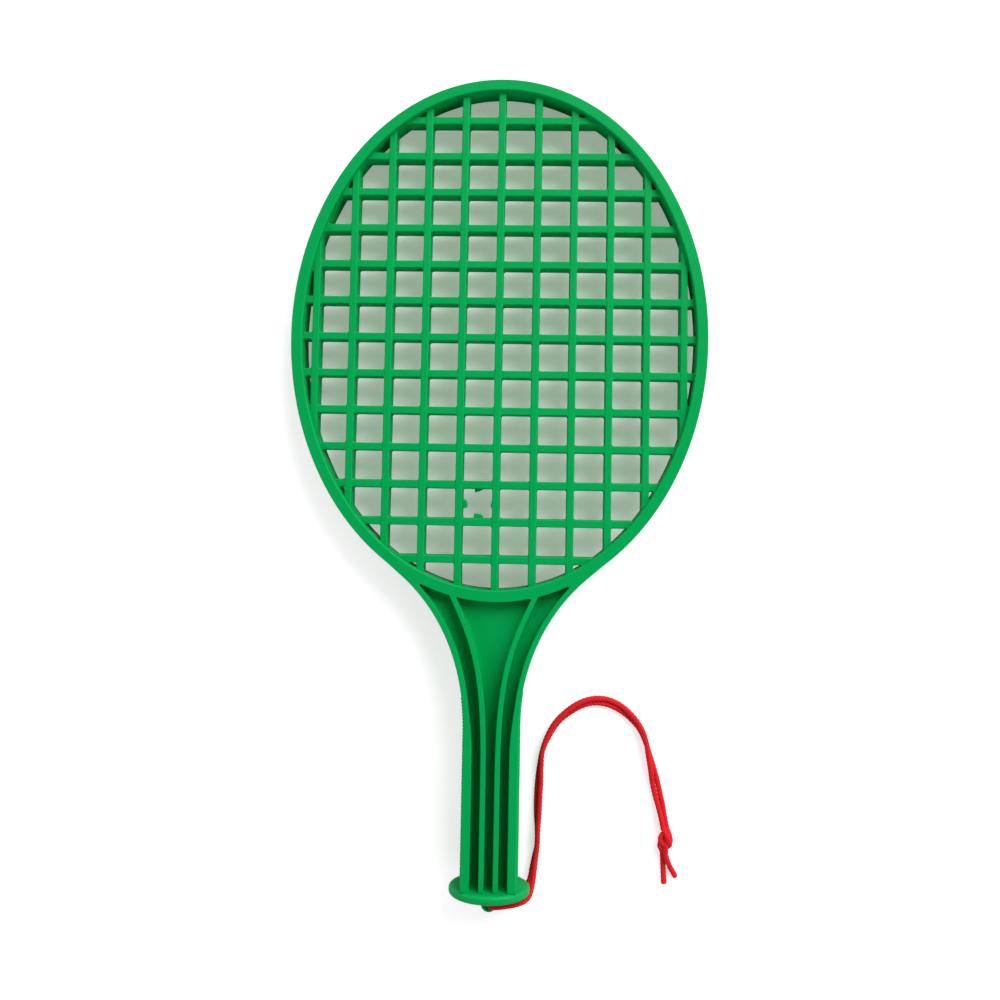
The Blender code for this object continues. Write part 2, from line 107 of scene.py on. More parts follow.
# Hoop.
HOOP_HALF_WIDTH = 0.1072
HOOP_HALF_LENGTH = 0.1350
HOOP_WALL = 0.0060
HOOP_DEPTH = 0.0145
HOOP_SIDES = 420
OUTER_ROUNDING = 0.0005
EDGE_ROUNDING = 0.0008
ROUNDING_STEPS = 4

# Throat and handle.
HOOP_END = -HOOP_HALF_LENGTH
GRIP_MIDDLE_SLOT = 0.0040
GRIP_INNER_RIB = 0.0031
INNER_RIB = 0.0026
GRIP_SIDE_SLOT = 0.0038
GRIP_OUTER_RIB = 0.0050
FLARE_START = (0.0525, HOOP_END + 0.0165)
FLARE_ANGLE = math.radians(35.1)
FLARE_HOOP_PULL = 0.0118
FLARE_GRIP_PULL = 0.0490
FLARE_END = HOOP_END - 0.0640
FLARE_RIB = 0.0029
GRIP_RIB = 0.0045
RIB_GROWS = HOOP_END - 0.0500
RIB_GROWN = HOOP_END - 0.0740
FLARE_BLEND = 0.0060
INNER_RIB_START = (0.02237, HOOP_END + 0.0055)
INNER_RIB_ANGLE = math.radians(63.4)
INNER_RIB_PULL = 0.0326
INNER_RIB_GRIP_PULL = 0.0487
INNER_RIB_END = HOOP_END - 0.0858
GRIP_DEPTH = 0.0240
DEEPENING_START = HOOP_END + 0.0090
DEEPENING_END = HOOP_END - 0.0650
WEB = 0.0028
HANDLE_END = HOOP_END - 0.1414
HANDLE_SUNK = 0.0022
HANDLE_DIVE = 0.0014
POCKET_CORNER = 0.0008
POCKET_TIP = 0.0006
POCKET_SUNK = 0.0005
POCKET_DRAFT = 0.00012
POCKET_FILLET = 0.00035
POCKET_EDGE = 0.0004
FILLET_STEPS = 3
OUTLINE_SPACING = 0.0012
OUTLINE_DRAFT = 0.0001
OPENING_DRAFT = 0.0002
STRAIGHT_GAP = 0.001
RUN_ON_POINTS = 40
GRIP_SIDE_POINTS = 60
GRIP_END_CORNER = 0.9 * HANDLE_SUNK
GRIP_END_POINTS = 7
SIDE_POCKET_TOP_POINTS = 30
MIDDLE_POCKET_TOP_POINTS = 40

# Ridges on both side walls of the grip.
THROAT_END = HOOP_END - 0.0465
RIDGE_PITCH = 0.00165
RIDGE_COUNT = 57
RIDGE_PROUD = 0.0005
RIDGE_ROOT = 0.0008
RIDGE_MARGIN = 0.0009
RIDGE_RUNOUT = 0.0012
RIDGE_RUNOUT_POINTS = 7
RIDGE_STEPS = 10
RIDGE_DRAFT = 0.0001
RIDGE_SINK = 0.00003

# Lattice.
BAR_PITCH = 0.0190
BARS_ACROSS = 11
BARS_ALONG = 13
BAR_WAIST = 0.0041
CROSS_BAR_WAIST = 0.0043
BAR_DRAFT = 0.0002
BAR_DEPTH = 0.0098
CROSS_BAR_STEP = 0.0003
BAR_ROUNDING = 0.0006
LATTICE_RIM_ROUNDING = 0.0003
CELL_CORNER = 0.0009
SHARP_CORNER = 0.00025
SHARP_TURN = math.cos(math.radians(125))
LATTICE_SUNK = 0.00015
BAR_SUNK = 0.00002
SMALLEST_CELL = 0.000001
SHORTEST_SIDE = 0.00035
CELL_BOUND_POINTS = 1440
CELL_CORNER_TURN = math.radians(12)
CELL_SPACING = 0.0012
LATTICE_RIM_POINTS = 360
BAR_SPACING = 0.003

# What the cut gate left in one cell: four nibs, as outlines in millimetres.
NIB_HALF_DEPTH = 0.0024
NIB_ROUNDING = 0.00025
NIB_CORNER = 2 * NIB_ROUNDING
NIB_CORNER_TURN = math.radians(5)
NIB_SPACING = 0.0005
GATE_NIBS = (
    ((-11.0, -77.0), (-10.9, -79.9), (-10.1, -79.7), (-8.4, -79.1), (-6.9, -78.3), (-6.4, -77.0)),
    ((-18.0, -83.3), (-16.1, -83.6), (-15.2, -84.5), (-14.8, -85.9), (-14.9, -87.0),
     (-15.7, -88.0), (-18.0, -88.3)),
    ((-1.0, -80.6), (-1.5, -82.0), (-2.1, -84.0), (-2.6, -86.7), (-2.2, -87.6), (-1.0, -88.3)),
    ((-11.4, -94.0), (-11.1, -90.6), (-9.8, -90.6), (-8.1, -91.0), (-7.1, -91.6), (-6.4, -94.0)),
)

# Flange and eyelet.
SEAM = 0.0003
FLANGE_WIDTH = 0.0410
FLANGE_HEIGHT = 0.0320
FLANGE_THICKNESS = 0.0045
FLANGE_ROUNDING = 0.0018
FLANGE_ROUNDING_STEPS = 8
FLANGE_POINTS = 240
EYELET_DROP = 0.0050
EYELET_RADIUS = 0.0039
EYELET_HOLE_RADIUS = 0.0021
EYELET_BASE_HALF = 0.0060
EYELET_THICKNESS = 0.0040
EYELET_ROUNDING = 0.0006
EYELET_SUNK = 0.0020
EYELET_BOWL_START = math.radians(24)
EYELET_BOWL_POINTS = 48
EYELET_HOLE_POINTS = 64
EYELET_SPACING = 0.0006
EYELET_ROUNDING_STEPS = 6

# Wrist cord, in metres from the spot on the floor below the eyelet's hole.
CORD_PLACE = (0.0, -0.208457, 0.0)
CORD_DIAMETER = 0.0028
CORD_CLEARANCE = 0.00005
CORD_REST = CORD_DIAMETER / 2 + CORD_CLEARANCE
PAIR_SPACING = CORD_DIAMETER
FRONT_LEAD = (
    (-0.0002, 0.0000, 0.01625),
    (-0.0001, 0.0000, 0.0173),
    (0.0005, 0.0000, 0.0186),
    (0.0022, 0.0000, 0.0202),
    (0.0046, 0.0003, 0.0209),
    (0.0085, 0.0005, 0.0202),
    (0.0122, 0.0004, 0.0186),
    (0.0154, 0.0005, 0.0166),
    (0.0181, 0.0009, 0.0146),
    (0.0202, 0.0026, 0.0129),
    (0.0213, 0.0053, 0.0110),
    (0.0220, 0.0085, 0.0092),
    (0.0225, 0.0124, 0.0073),
    (0.0230, 0.0171, 0.0056),
)
BACK_LEAD = (
    (-0.0002, 0.0000, 0.01595),
    (-0.0001, 0.0000, 0.0149),
    (0.0005, 0.0000, 0.0136),
    (0.0022, 0.0000, 0.0120),
    (0.0046, 0.0000, 0.0113),
    (0.0084, -0.0001, 0.0096),
    (0.0117, 0.0004, 0.0070),
    (0.0152, 0.0020, 0.0044),
    (0.0192, 0.0043, 0.0024),
    (0.0207, 0.0077, 0.0016),
    (0.0214, 0.0119, CORD_REST),
    (0.0225, 0.0174, CORD_REST),
)
# The pair of strands: its middle, and how far the front strand has turned about the back
# one, in degrees. At 90 it lies on top, at 0 outside the bend.
PAIR_ROUTE = (
    (0.0238, 0.0239, 90),
    (0.0239, 0.0320, 95),
    (0.0239, 0.0401, 118),
    (0.0240, 0.0481, 127),
    (0.0244, 0.0566, 125),
    (0.0249, 0.0648, 105),
    (0.0260, 0.0730, 85),
    (0.0294, 0.0814, 65),
    (0.0337, 0.0881, 58),
    (0.0398, 0.0935, 42),
    (0.0461, 0.0972, 34),
    (0.0523, 0.0988, 25),
    (0.0586, 0.0984, 15),
    (0.0648, 0.0961, 20),
    (0.0710, 0.0916, 42),
    (0.0762, 0.0855, 66),
    (0.0792, 0.0788, 84),
    (0.0810, 0.0718, 108),
    (0.0829, 0.0642, 134),
    (0.0843, 0.0579, 168),
    (0.0858, 0.0516, 172),
    (0.0873, 0.0457, 149),
    (0.0886, 0.0397, 134),
    (0.0897, 0.0344, 134),
)
LEFT_TAIL = (
    (0.0886, 0.0222, CORD_REST),
    (0.0889, 0.0175, CORD_REST),
    (0.0892, 0.0123, CORD_REST),
    (0.0896, 0.0061, CORD_REST),
)
RIGHT_TAIL = (
    (0.0898, 0.0224, 0.0045),
    (0.0908, 0.0188, 0.0038),
    (0.0926, 0.0146, 0.0022),
    (0.0944, 0.0115, 0.0015),
    (0.0956, 0.0090, CORD_REST),
)
KNOT_CENTRE = (0.0897, 0.0283, 0.0036)
# Stretches of cord in the knot, in millimetres from its centre.
KNOT_STRANDS = (
    ((-0.9, 6.2, 0.1), (-0.2, 5.0, 1.1), (0.5, 3.7, 1.8), (1.2, 2.0, 2.0), (1.9, 0.3, 1.6),
     (2.2, -1.3, 0.6), (1.7, -2.8, -0.8), (0.3, -3.6, -1.8), (-1.5, -3.3, -1.5)),
    ((0.9, 6.2, -2.0), (1.5, 4.9, -1.0), (2.0, 3.4, 0.1), (2.5, 1.7, 0.4), (2.6, 0.0, 0.0),
     (2.3, -1.4, -1.0), (1.1, -2.2, -1.9), (-0.6, -2.0, -2.1), (-2.0, -1.2, -1.3)),
    ((0.9, 3.9, -1.6), (-0.6, 3.7, -0.4), (-1.9, 2.9, 0.4), (-2.4, 1.6, 0.6), (-2.1, 0.2, 0.7),
     (-1.2, -0.9, 0.9), (0.0, -1.6, 0.5), (1.1, -1.8, -0.6)),
    ((0.4, 0.6, -2.0), (-1.2, 0.0, -1.6), (-2.3, -1.0, -0.8), (-2.6, -2.3, -0.1), (-2.2, -3.5, 0.0),
     (-1.2, -4.4, -0.6), (0.0, -4.6, -1.6)),
    ((0.2, 1.6, 0.2), (0.1, -0.4, 0.9), (0.2, -2.2, 1.3), (0.2, -4.0, 1.2), (0.1, -6.1, 0.9)),
    ((-0.8, 1.4, -0.6), (-0.9, -0.8, -0.2), (-0.8, -2.6, -0.2), (-1.1, -4.4, -1.2),
     (-1.3, -6.1, -2.1)),
    ((0.0, 6.2, -1.4), (0.0, 3.0, -0.9), (0.0, 0.0, -1.0), (-0.2, -3.0, -1.2)),
)
CORD_SIDES = 28
CORD_SPACING = 0.00026
CORD_END_ROUNDING = 0.0011
CORD_FLARE_LENGTH = 0.0040
CORD_FLARE = 0.17
CORD_CUT_ROUNDING = 0.0004
CORD_CUT_SHARE = 0.12
CORD_END_LEAST = 0.02
UPRIGHT = 0.1
PLAIT_STRANDS = 4
PLAIT_PITCH = 0.0021
PLAIT_RELIEF = 0.00009

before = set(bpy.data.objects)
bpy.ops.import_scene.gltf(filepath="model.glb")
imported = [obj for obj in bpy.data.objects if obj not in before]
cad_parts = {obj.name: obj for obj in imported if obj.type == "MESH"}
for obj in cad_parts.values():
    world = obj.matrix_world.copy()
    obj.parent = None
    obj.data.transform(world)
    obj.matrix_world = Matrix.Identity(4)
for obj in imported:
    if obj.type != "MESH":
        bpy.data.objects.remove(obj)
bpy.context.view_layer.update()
scene = bpy.context.scene


# Camera, light and floor

def make_camera():
    data = bpy.data.cameras.new("camera")
    data.lens = CAMERA_LENS
    data.sensor_width = CAMERA_SENSOR
    data.shift_x, data.shift_y = CAMERA_SHIFT
    camera = bpy.data.objects.new("camera", data)
    camera.location = CAMERA_PLACE
    camera.rotation_euler = CAMERA_TURN
    scene.collection.objects.link(camera)
    scene.camera = camera


def make_light(name, place, aim, size, power):
    data = bpy.data.lights.new(name, "AREA")
    data.shape = "DISK"
    data.size = size
    data.energy = power
    light = bpy.data.objects.new(name, data)
    light.location = place
    light.rotation_euler = (Vector(aim) - Vector(place)).to_track_quat("-Z", "Y").to_euler()
    scene.collection.objects.link(light)


def make_world():
    """Soft light from all sides, more of it from the key's, and dim overhead, so that deep
    slots stay dark, and at the horizon, so that walls do. The camera sees it plain white."""
    world = bpy.data.worlds.new("studio")
    world.use_nodes = True
    nodes, links = world.node_tree.nodes, world.node_tree.links
    place = nodes.new("ShaderNodeTexCoord")
    split = nodes.new("ShaderNodeSeparateXYZ")
    band = nodes.new("ShaderNodeValToRGB")
    stops = band.color_ramp.elements
    while len(stops) < len(WORLD_BAND):
        stops.new(0.5)
    for stop, (height, level) in zip(stops, WORLD_BAND):
        stop.position = height
        stop.color = (level, level, level, 1.0)
    links.new(place.outputs["Generated"], split.inputs[0])
    links.new(split.outputs["Z"], band.inputs[0])
    side = nodes.new("ShaderNodeVectorMath")
    side.operation = "DOT_PRODUCT"
    side.inputs[1].default_value = WORLD_BRIGHT_SIDE
    lean = nodes.new("ShaderNodeMath")
    lean.operation = "MULTIPLY_ADD"
    lean.inputs[1].default_value = WORLD_LEVEL * WORLD_LEAN
    lean.inputs[2].default_value = WORLD_LEVEL
    strength = nodes.new("ShaderNodeMath")
    strength.operation = "MULTIPLY"
    links.new(place.outputs["Generated"], side.inputs[0])
    links.new(side.outputs["Value"], lean.inputs[0])
    links.new(band.outputs[0], strength.inputs[0])
    links.new(lean.outputs[0], strength.inputs[1])
    background = nodes["Background"]
    background.inputs["Color"].default_value = (1.0, 1.0, 1.0, 1.0)
    ray = nodes.new("ShaderNodeLightPath")
    shown_level = nodes.new("ShaderNodeMix")
    shown_level.inputs["B"].default_value = 1.0
    links.new(ray.outputs["Is Camera Ray"], shown_level.inputs["Factor"])
    links.new(strength.outputs[0], shown_level.inputs["A"])
    links.new(shown_level.outputs["Result"], background.inputs["Strength"])
    scene.world = world


def make_floor():
    mesh = bpy.data.meshes.new("floor")
    signs = ((-1, -1), (1, -1), (1, 1), (-1, 1))
    corners = [(x * FLOOR_HALF, y * FLOOR_HALF, 0) for x, y in signs]
    mesh.from_pydata(corners, [], [(0, 1, 2, 3)])
    floor = bpy.data.objects.new("floor", mesh)
    scene.collection.objects.link(floor)
    material = bpy.data.materials.new("floor_white")
    material.use_nodes = True
    nodes, links = material.node_tree.nodes, material.node_tree.links
    nodes.clear()
    output = nodes.new("ShaderNodeOutputMaterial")
    seen = nodes.new("ShaderNodeBsdfDiffuse")
    seen.inputs["Color"].default_value = (FLOOR_SEEN, FLOOR_SEEN, FLOOR_SEEN, 1.0)
    glow = nodes.new("ShaderNodeEmission")
    place = nodes.new("ShaderNodeTexCoord")
    offset = nodes.new("ShaderNodeVectorMath")
    offset.operation = "SUBTRACT"
    offset.inputs[1].default_value = PAINTED_SHADE_MIDDLE
    share = nodes.new("ShaderNodeVectorMath")
    share.operation = "MULTIPLY"
    share.inputs[1].default_value = (0.5 / PAINTED_SHADE_HALF_AXES[0], 0.5 / PAINTED_SHADE_HALF_AXES[1], 0.0)
    reach = nodes.new("ShaderNodeVectorMath")
    reach.operation = "LENGTH"
    # Painted shade and painted light: the glow goes from the darker grey-green inside the ellipse under
    # the lattice to the brighter colour round the racket.
    painted_shade_ramp = nodes.new("ShaderNodeValToRGB")
    inside, outside = painted_shade_ramp.color_ramp.elements
    inside.position, outside.position = 0.5 - PAINTED_SHADE_EDGE / 2, 0.5 + PAINTED_SHADE_EDGE / 2
    inside.color, outside.color = (*FLOOR_GLOW_PAINTED_SHADE, 1.0), (*FLOOR_GLOW_PAINTED_LIGHT, 1.0)
    links.new(place.outputs["Object"], offset.inputs[0])
    links.new(offset.outputs["Vector"], share.inputs[0])
    links.new(share.outputs["Vector"], reach.inputs[0])
    links.new(reach.outputs["Value"], painted_shade_ramp.inputs[0])
    links.new(painted_shade_ramp.outputs[0], glow.inputs["Color"])
    both = nodes.new("ShaderNodeAddShader")
    plain = nodes.new("ShaderNodeBsdfDiffuse")
    plain.inputs["Color"].default_value = (FLOOR_WHITE, FLOOR_WHITE, FLOOR_WHITE, 1.0)
    ray = nodes.new("ShaderNodeLightPath")
    mix = nodes.new("ShaderNodeMixShader")
    links.new(seen.outputs[0], both.inputs[0])
    links.new(glow.outputs[0], both.inputs[1])
    links.new(ray.outputs["Is Camera Ray"], mix.inputs[0])
    links.new(plain.outputs[0], mix.inputs[1])
    links.new(both.outputs[0], mix.inputs[2])
    links.new(mix.outputs[0], output.inputs["Surface"])
    mesh.materials.append(material)


# Curves and outlines

def smooth(points, steps):
    """Points read from a smooth curve through the given ones, steps to each stretch."""
    route = [Vector(point) for point in points]
    route = [2 * route[0] - route[1], *route, 2 * route[-1] - route[-2]]
    read = []
    for a, b, c, d in zip(route, route[1:], route[2:], route[3:]):
        for step in range(steps):
            t = step / steps
            bend = (2 * a - 5 * b + 4 * c - d) * t * t + (3 * b - a - 3 * c + d) * t * t * t
            read.append(b + ((c - a) * t + bend) / 2)
    return [*read, route[-2]]


def bezier(start, start_pull, end_pull, end, steps=CURVE_STEPS):
    t = np.linspace(0, 1, steps + 1)[:, None]
    s = 1 - t
    a, b, c, d = (np.array(point, float) for point in (start, start_pull, end_pull, end))
    return s**3 * a + 3 * s * s * t * b + 3 * s * t * t * c + t**3 * d


def ellipse(half_x, half_y, count):
    turn = 2 * np.pi * np.arange(count) / count
    return np.stack([half_x * np.cos(turn), half_y * np.sin(turn)], 1)


def flare_edge(start, angle, hoop_pull, grip_half, grip_pull, end):
    start, grip = np.array(start, float), np.array((grip_half, end))
    down = np.array((-math.cos(angle), -math.sin(angle)))
    return bezier(start, start + hoop_pull * down, grip + (0, grip_pull), grip)


def offset_edge(edge, distance):
    """The edge moved sideways, away from the middle line where the distance is positive."""
    along = np.gradient(edge, axis=0)
    along /= np.linalg.norm(along, axis=1)[:, None]
    return edge + distance * np.stack([-along[:, 1], along[:, 0]], 1)


def eased(y, start, end):
    """0 above start, 1 below end, and a soft passage between them."""
    t = np.clip((start - y) / (start - end), 0, 1)
    return t * t * (3 - 2 * t)


def outer_rib(y):
    """Width of the outer rib along the racket."""
    return FLARE_RIB + eased(y, RIB_GROWS, RIB_GROWN) * (GRIP_RIB - FLARE_RIB)


def throat_edges():
    """Half outlines, from the middle line out: both sides of the inner rib, then the outer."""
    middle = GRIP_MIDDLE_SLOT / 2
    inner_rib = flare_edge(INNER_RIB_START, INNER_RIB_ANGLE, INNER_RIB_PULL,
                           middle + GRIP_INNER_RIB / 2, INNER_RIB_GRIP_PULL, INNER_RIB_END)
    outer = flare_edge(FLARE_START, FLARE_ANGLE, FLARE_HOOP_PULL,
                       middle + GRIP_INNER_RIB + GRIP_SIDE_SLOT + GRIP_OUTER_RIB,
                       FLARE_GRIP_PULL, FLARE_END)
    half_rib = INNER_RIB / 2
    return (run_on(offset_edge(inner_rib, -half_rib)), run_on(offset_edge(inner_rib, half_rib)),
            outer)


def outside_hoop(edge, half_x, half_y):
    """The part of an edge that lies outside the ellipse, from the crossing on."""
    reach = (edge[:, 0] / half_x) ** 2 + (edge[:, 1] / half_y) ** 2 - 1
    first = int(np.argmax(reach > 0))
    if first == 0:
        return edge
    share = -reach[first - 1] / (reach[first] - reach[first - 1])
    crossing = edge[first - 1] + share * (edge[first] - edge[first - 1])
    return np.vstack([crossing, edge[first:]])


def arc(start, end, half_x, half_y, count, long_way=False):
    """The ellipse's points from start to end."""
    a = math.atan2(start[1] / half_y, start[0] / half_x)
    b = math.atan2(end[1] / half_y, end[0] / half_x)
    if long_way and b < a:
        b += 2 * math.pi
    turn = np.linspace(a, b, count)
    return np.stack([half_x * np.cos(turn), half_y * np.sin(turn)], 1)


def run_on(edge):
    """The edge, and on from its end straight along the grip into the flange."""
    x = edge[-1, 0]
    start, end = (x, edge[-1, 1] - STRAIGHT_GAP), (x, HANDLE_END - POCKET_SUNK)
    return np.vstack([edge, np.linspace(start, end, RUN_ON_POINTS)])


def blended(before, after):
    """Points of a smooth bend from the end of one line to the start of the next."""
    start, end = before[-1], after[0]
    pull = np.linalg.norm(end - start) / 3
    into, out = end_way(before, True), end_way(after, False)
    return bezier(start, start + pull * into, end - pull * out, end, BLEND_STEPS)[1:-1]


def trimmed(line, start_cut, end_cut):
    """The open line without start_cut at its start and end_cut at its end."""
    length = np.concatenate([[0], np.cumsum(np.linalg.norm(np.diff(line, axis=0), axis=1))])
    low, high = start_cut, length[-1] - end_cut
    if high - low < SHORTEST_LINE:
        low = high = (low + high) / 2
    inside = (length > low + SAME_PLACE) & (length < high - SAME_PLACE)
    ends = [np.array([np.interp(x, length, line[:, k]) for k in (0, 1)]) for x in (low, high)]
    return np.vstack([ends[0], line[inside], ends[1]])


def end_way(line, at_end):
    """The unit direction of travel at one end of the line, measured over a short reach."""
    piece = trimmed(line, 0, 0)
    length = np.concatenate([[0], np.cumsum(np.linalg.norm(np.diff(piece, axis=0), axis=1))])
    reach = min(END_REACH, 0.5 * length[-1])
    at = (length[-1] - reach, length[-1]) if at_end else (0.0, reach)
    a, b = (np.array([np.interp(x, length, piece[:, k]) for k in (0, 1)]) for x in at)
    return (b - a) / np.linalg.norm(b - a)


def turn_between(line, after):
    """The angle from the end of one line to the start of the next."""
    return math.acos(max(-1.0, min(1.0, float(end_way(line, True).dot(end_way(after, False))))))


def rounded_loop(lines, radii):
    """A closed outline from open lines, end to end. radii are those of the corners after each."""
    lengths = [np.linalg.norm(np.diff(line, axis=0), axis=1).sum() for line in lines]
    if np.isscalar(radii):
        radii = [radii] * len(lines)
    cuts = []
    for index, line in enumerate(lines):
        after = (index + 1) % len(lines)
        cut = radii[index] * math.tan(turn_between(line, lines[after]) / 2)
        cuts.append(min(cut, CORNER_SHARE * lengths[index], CORNER_SHARE * lengths[after]))
    kept = [trimmed(line, cuts[index - 1], cuts[index]) for index, line in enumerate(lines)]
    loop = []
    for index, line in enumerate(kept):
        after = kept[(index + 1) % len(kept)]
        start, end = line[-1], after[0]
        into, out = end_way(line, True), end_way(after, False)
        turn = turn_between(line, after)
        chord = np.linalg.norm(end - start)
        radius = chord / (2 * math.sin(max(turn, SMALLEST_TURN) / 2))
        pull = 4 / 3 * math.tan(turn / 4) * radius
        steps = max(3, int(math.ceil(turn / CORNER_STEP)))
        bend = bezier(start, start + pull * into, end - pull * out, end, steps)
        loop.extend([line, bend[1:-1]])
    return np.vstack(loop)


def spaced(loop, spacing):
    """The closed loop with long stretches divided, so that no side is longer than spacing."""
    made = []
    for a, b in zip(loop, np.roll(loop, -1, axis=0)):
        length = np.linalg.norm(b - a)
        if length < SHORTEST_GAP:
            continue
        parts = max(1, int(math.ceil(length / spacing - ROUND_OFF)))
        made.extend(a + (b - a) * step / parts for step in range(parts))
    return np.array(made)


def turned_left(loop):
    """The loop, reversed if need be to run counterclockwise."""
    x, y = loop[:, 0], loop[:, 1]
    area = np.sum(x * np.roll(y, -1) - np.roll(x, -1) * y)
    return loop if area > 0 else loop[::-1]


def outward(loop):
    """Unit normals on the right of the way the loop runs."""
    ahead = np.roll(loop, -1, axis=0) - loop
    ahead /= np.linalg.norm(ahead, axis=1)[:, None]
    along = ahead + np.roll(ahead, 1, axis=0)
    along /= np.linalg.norm(along, axis=1)[:, None]
    return np.stack([along[:, 1], -along[:, 0]], 1)


# Skins

class Skin:
    """A surface made of rings along outlines, and flat fills between them, with normals."""

    def __init__(self, top):
        self.top = top
        self.places, self.normals, self.faces = [], [], []
        self.count = 0

    def add(self, places, normals):
        start = self.count
        self.places.append(places)
        self.normals.append(normals)
        self.count += len(places)
        return start

    def slope(self, y):
        return (self.top(y + SLOPE_STEP) - self.top(y - SLOPE_STEP)) / (2 * SLOPE_STEP)

    def ring(self, loop, normal, inset, below, tilt, side=1):
        """One ring: inset into the material, below the crest, tilted from wall to crest."""
        plan = loop - inset * normal
        level = callable(below)
        height = below(plan[:, 1]) if level else self.top(plan[:, 1]) - below
        rise = 0 * height if level else self.slope(plan[:, 1])
        crest = np.stack([0 * rise, -rise, 0 * rise + 1], 1)
        crest /= np.linalg.norm(crest, axis=1)[:, None]
        wall = np.column_stack([normal, 0 * rise])
        direction = math.cos(tilt) * wall + math.sin(tilt) * crest
        direction /= np.linalg.norm(direction, axis=1)[:, None]
        flip = np.array([1, 1, side])
        return self.add(np.column_stack([plan, height]) * flip, direction * flip)

    def bridge(self, low, high, count, side=1):
        for i in range(count):
            j = (i + 1) % count
            quad = (low + i, low + j, high + j, high + i)
            self.faces.append(quad if side > 0 else quad[::-1])

    def fill(self, starts, counts, side=1):
        """Fills the region between the rings that begin at starts and have counts places."""
        places = np.vstack(self.places)[:, :2]
        index, edges = [], []
        for start, count in zip(starts, counts):
            base = len(index)
            index.extend(range(start, start + count))
            edges.extend((base + i, base + (i + 1) % count) for i in range(count))
        flat = places[index]
        sites = [Vector(place) for place in flat]
        result = delaunay_2d_cdt(sites, edges, [], 1, FILL_TOLERANCE)
        faces = np.array([[result[3][v][0] for v in face] for face in result[2]])
        middle = flat[faces].mean(axis=1)
        starts_at, ends_at = flat[np.array(edges)[:, 0]], flat[np.array(edges)[:, 1]]
        crossings = np.zeros(len(middle), int)
        for (x0, y0), (x1, y1) in zip(starts_at, ends_at):
            if y0 == y1:
                continue
            spans = (middle[:, 1] > min(y0, y1)) & (middle[:, 1] <= max(y0, y1))
            at = x0 + (middle[:, 1] - y0) * (x1 - x0) / (y1 - y0)
            crossings += spans & (at > middle[:, 0])
        for face in faces[crossings % 2 == 1]:
            corners = [index[v] for v in face]
            self.faces.append(tuple(corners) if side > 0 else tuple(reversed(corners)))

    def mesh(self, name, matrix):
        mesh = bpy.data.meshes.new(name)
        places = np.vstack(self.places)
        normals = np.vstack(self.normals)
        turn = np.array(matrix.to_3x3())
        places = places @ turn.T + np.array(matrix.translation)
        normals = normals @ turn.T
        mesh.from_pydata(places.tolist(), [], self.faces)
        mesh.validate()
        mesh.shade_smooth()
        mesh.normals_split_custom_set_from_vertices(normals.tolist())
        return mesh


def wall_rings(skin, loop, rounding, draft, steps=ROUNDING_STEPS):
    """Rings of a wall that goes through, from the back crest to the front crest.

    Returns the starts of the back crest ring and the front crest ring."""
    normal = outward(loop)
    count = len(loop)
    previous = None
    ends = []
    for side in (-1, 1):
        levels = []
        for step in range(steps + 1):
            turn = math.pi / 2 * step / steps
            levels.append((draft + rounding * (1 - math.cos(turn)),
                           rounding * (1 - math.sin(turn)), turn))
        if side < 0:
            levels = levels[::-1]
        for inset, below, turn in levels:
            start = skin.ring(loop, normal, inset, below, turn, side)
            if previous is None:
                ends.append(start)
            else:
                skin.bridge(previous, start, count)
            previous = start
        if side < 0:
            start = skin.ring(loop, normal, 0.0, lambda y: 0 * y, 0.0)
            skin.bridge(previous, start, count)
            previous = start
    ends.append(previous)
    return ends


def add_slab(skin, loop, rounding, draft, steps=ROUNDING_STEPS):
    """A body along the loop: its wall, and the flat back and front within it."""
    for side, start in zip((-1, 1), wall_rings(skin, loop, rounding, draft, steps)):
        skin.fill([start], [len(loop)], side)


# The moulding

def racket_top(y):
    """Half depth of the moulding's crests, along the racket."""
    depth = HOOP_DEPTH + eased(y, DEEPENING_START, DEEPENING_END) * (GRIP_DEPTH - HOOP_DEPTH)
    sunk = np.clip((HANDLE_END - y) / HANDLE_SUNK, 0, 1)
    return depth / 2 - HANDLE_DIVE * sunk


def pocket_rings(skin, loop, side):
    """Rings of a pocket's wall, from the fillet on its floor to the rounding at its crest.

    Returns the starts of the floor ring and the crest ring."""
    normal = outward(loop)
    starts = []
    for step in range(FILLET_STEPS + 1):
        turn = math.pi / 2 * (1 - step / FILLET_STEPS)
        inset = -POCKET_DRAFT - POCKET_FILLET * (1 - math.cos(turn))
        height = WEB / 2 + POCKET_FILLET * (1 - math.sin(turn))
        starts.append(skin.ring(loop, normal, inset, lambda y, h=height: 0 * y + h, turn, side))
    for step in range(ROUNDING_STEPS + 1):
        turn = math.pi / 2 * step / ROUNDING_STEPS
        starts.append(skin.ring(loop, normal, POCKET_EDGE * (1 - math.cos(turn)),
                                POCKET_EDGE * (1 - math.sin(turn)), turn, side))
    for low, high in zip(starts, starts[1:]):
        skin.bridge(low, high, len(loop), side)
    return starts[0], starts[-1]


